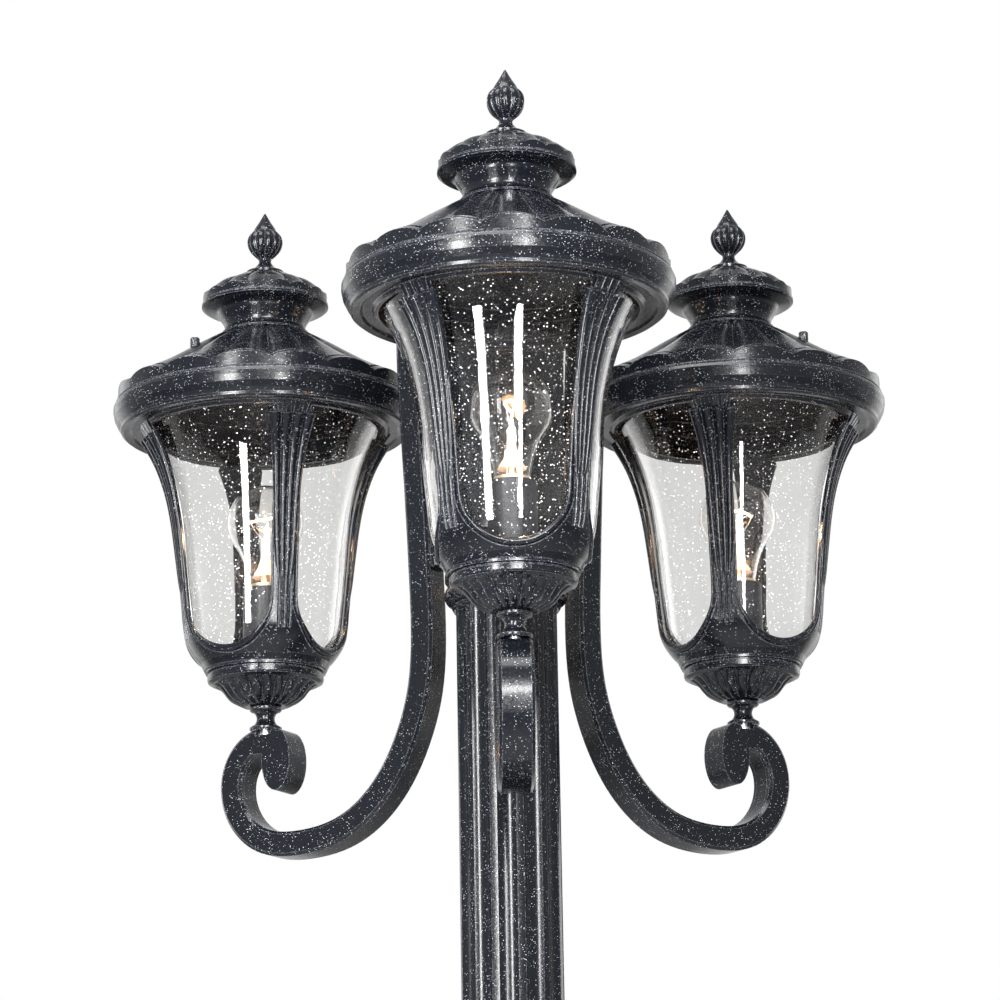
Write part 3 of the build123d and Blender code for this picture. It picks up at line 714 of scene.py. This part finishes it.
@dataclass
class ThumbScrew:
    """Knurled thumb screw that holds a roof down."""

    head: Head
    letter: str
    side: float
    circle: float = 0.067
    profile: Profile = ((0.0017, 0.2856), (0.0020, 0.2862), (0.0020, 0.29605), (0.0033, 0.29610),
                        (0.0035, 0.2968), (0.0035, 0.3038), (0.0031, 0.3047), (0.0020, 0.30505))
    knurl: float = 1.055            # ridges against the plain round
    knurl_low: float = 0.2965
    knurl_high: float = 0.3040
    steps: int = 40

    def build(self, finishes: Finishes) -> None:
        """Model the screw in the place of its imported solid.

        Args:
            finishes: The finishes of the lamp post.
        """
        node = f"knob_{self.letter}_{self.head.label}"
        piece = lathe(f"thumb_screw_{self.letter}_{self.head.label}", self.profile, self.steps)
        bpy.ops.object.mode_set(mode="EDIT")
        bpy.ops.mesh.select_all(action="DESELECT")
        bpy.ops.object.mode_set(mode="OBJECT")
        for corner in piece.data.vertices:
            x, y, z = corner.co
            turn = round(math.atan2(y, x) / (2 * math.pi) * self.steps)
            corner.select = self.knurl_low < z < self.knurl_high and turn % 2 == 0
        bpy.ops.object.mode_set(mode="EDIT")
        bpy.ops.mesh.select_mode(type="VERT")
        bpy.ops.transform.resize(value=(self.knurl, self.knurl, 1.0),
                                 center_override=(0.0, 0.0, self.knurl_low))
        bpy.ops.object.mode_set(mode="OBJECT")
        place = self.head.place(turned=True) @ Matrix.Translation((self.side * self.circle, 0.0, 0.0))
        settle(piece, place, node, finishes.cast, 25.0)
        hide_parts(node)


@dataclass
class Studio:
    """Pale floor, white surroundings, strip lamps and the camera."""

    yaw: float = 0.0244             # turn of the post against the camera, radians
    pitch: float = 0.2531
    roll: float = 0.0166
    focal_px: float = 4007.0
    distance: float = 2.932
    height: float = 1.0084
    aside: float = -0.0035
    ambient: float = 0.22
    bulb_watts: float = 1.0
    bulb_light_z: float = 0.170     # over the foot of the lantern
    bulb_colour: Colour = (1.0, 0.62, 0.32)
    floor_size: float = 12.0
    floor_gap: float = 0.0005       # between the base and the floor
    floor_pale: float = 0.72        # share of plain white in the floor as the camera sees it
    far: float = 50.0               # how far the camera sees

    def world(self) -> None:
        """White surroundings for what is seen, mirrored or looked through, and dim fill light."""
        world = bpy.data.worlds.new("studio")
        bpy.context.scene.world = world
        world.use_nodes = True
        tree = world.node_tree
        tree.nodes.clear()
        path = tree.nodes.new("ShaderNodeLightPath")
        seen = path.outputs["Is Camera Ray"]
        for name in ("Is Glossy Ray", "Is Transmission Ray"):
            either = tree.nodes.new("ShaderNodeMath")
            either.operation = "MAXIMUM"
            tree.links.new(seen, either.inputs[0])
            tree.links.new(path.outputs[name], either.inputs[1])
            seen = either.outputs[0]
        level = tree.nodes.new("ShaderNodeMapRange")
        level.inputs["To Min"].default_value = self.ambient
        level.inputs["To Max"].default_value = 1.0
        tree.links.new(seen, level.inputs["Value"])
        sky = tree.nodes.new("ShaderNodeBackground")
        sky.inputs["Color"].default_value = (1.0, 1.0, 1.0, 1.0)
        tree.links.new(level.outputs["Result"], sky.inputs["Strength"])
        tree.links.new(sky.outputs[0], tree.nodes.new("ShaderNodeOutputWorld").inputs["Surface"])

    def floor(self) -> None:
        """Plain pale floor under the base."""
        bpy.ops.mesh.primitive_plane_add(size=self.floor_size, location=(0.0, 0.0, -self.floor_gap))
        floor = bpy.context.object
        floor.name = "floor"
        bench = Bench("pale_floor")
        place = bench.node("TexCoord").outputs["Object"]
        cloud = bench.node("TexNoise", Scale=3.0, Detail=2.0)
        bench.join(place, cloud.inputs["Vector"])
        shader = bench.node("BsdfPrincipled", Roughness=0.75)
        bench.join(bench.blend(cloud.outputs["Fac"], (0.80, 0.80, 0.80), (0.84, 0.84, 0.84)),
                   shader.inputs["Base Color"])
        pale = bench.node("Emission", Color=(1.0, 1.0, 1.0, 1.0), Strength=1.0)
        seen = bench.node("MixShader")
        bench.join(bench.math("MULTIPLY", bench.node("LightPath").outputs["Is Camera Ray"], self.floor_pale),
                   seen.inputs[0])
        bench.join(shader.outputs[0], seen.inputs[1])
        bench.join(pale.outputs[0], seen.inputs[2])
        floor.data.materials.append(bench.finish(seen.outputs[0]))

    def lamp(self, name: str, place: tuple[float, float, float], size: tuple[float, float],
             energy: float, aim: tuple[float, float, float], shape: str = "RECTANGLE") -> None:
        """Add one softbox.

        Args:
            name: Name of the lamp.
            place: Where it stands.
            size: Width and height of its face.
            energy: Power in watts.
            aim: Point that it faces.
            shape: Outline of its face.
        """
        data = bpy.data.lights.new(name, "AREA")
        data.shape = shape
        data.size = size[0]
        if shape == "RECTANGLE":
            data.size_y = size[1]
        data.energy = energy
        lamp = bpy.data.objects.new(name, data)
        lamp.location = place
        lamp.rotation_euler = (Vector(aim) - Vector(place)).to_track_quat("-Z", "Y").to_euler()
        bpy.context.scene.collection.objects.link(lamp)

    def lamps(self) -> None:
        """Strips beside the camera, a panel overhead, a round lamp in front and two panels behind.

        They are brighter than plain: a grey card that faces the camera renders about 6 to 8 times
        as bright as it is written.
        """
        self.lamp("strip_left", (-0.95, -1.65, 1.72), (0.30, 1.35), 120.0, (0.0, 0.0, 1.75))
        self.lamp("strip_right", (0.26, -1.75, 1.75), (0.15, 1.25), 56.0, (0.0, 0.0, 1.75))
        self.lamp("overhead", (-0.4, -0.9, 3.6), (1.6, 1.0), 80.0, (0.0, 0.0, 1.8))
        self.lamp("round_front", (0.02, -2.9, 2.20), (0.62, 0.62), 75.0, (0.0, -0.2, 1.7), "DISK")
        self.lamp("back_left", (-1.9, 2.2, 1.7), (1.1, 2.2), 10.0, (0.0, 0.0, 1.4))
        self.lamp("back_right", (1.9, 2.2, 1.7), (1.1, 2.2), 10.0, (0.0, 0.0, 1.4))

    def bulbs(self) -> None:
        """Warm light from inside each bulb."""
        for head in Head:
            data = bpy.data.lights.new("bulb_light_" + head.label, "POINT")
            data.energy = self.bulb_watts
            data.color = self.bulb_colour
            data.shadow_soft_size = 0.0
            lamp = bpy.data.objects.new(data.name, data)
            lamp.location = head.place() @ Vector((0.0, 0.0, self.bulb_light_z))
            bpy.context.scene.collection.objects.link(lamp)

    def camera(self) -> None:
        """Camera at the photograph's viewing angle, below the lanterns and looking up."""
        data = bpy.data.cameras.new("camera")
        data.sensor_width = SENSOR_WIDTH
        data.lens = self.focal_px * SENSOR_WIDTH / PHOTO_WIDTH
        data.clip_end = self.far
        camera = bpy.data.objects.new("camera", data)
        turn = Matrix.Rotation(-self.yaw, 4, "Z")
        camera.matrix_world = (
            turn
            @ Matrix.Translation((self.aside, -self.distance, self.height))
            @ Matrix.Rotation(math.pi / 2 + self.pitch, 4, "X")
            @ Matrix.Rotation(-self.roll, 4, "Z")
        )
        bpy.context.scene.collection.objects.link(camera)
        bpy.context.scene.camera = camera

    def build(self) -> None:
        """Set up the whole studio."""
        settings = bpy.context.scene.view_settings
        settings.view_transform = "Standard"
        self.world()
        self.floor()
        self.lamps()
        self.bulbs()
        self.camera()


def main() -> None:
    """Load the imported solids, dress them, add the modelled detail and set up the studio."""
    logging.basicConfig(level=logging.INFO, format="%(message)s")
    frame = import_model()
    finishes = Finishes.make()
    dress(frame["nodes"], finishes)
    for head in Head:
        BulbInside(head).build(finishes)
        StrutReeds(head).build(finishes)
        WindowBead(head).build(finishes)
        ThumbScrew(head, "a", 1.0).build(finishes)
        ThumbScrew(head, "b", -1.0).build(finishes)
    Studio().build()


if __name__ == "__main__":
    main()
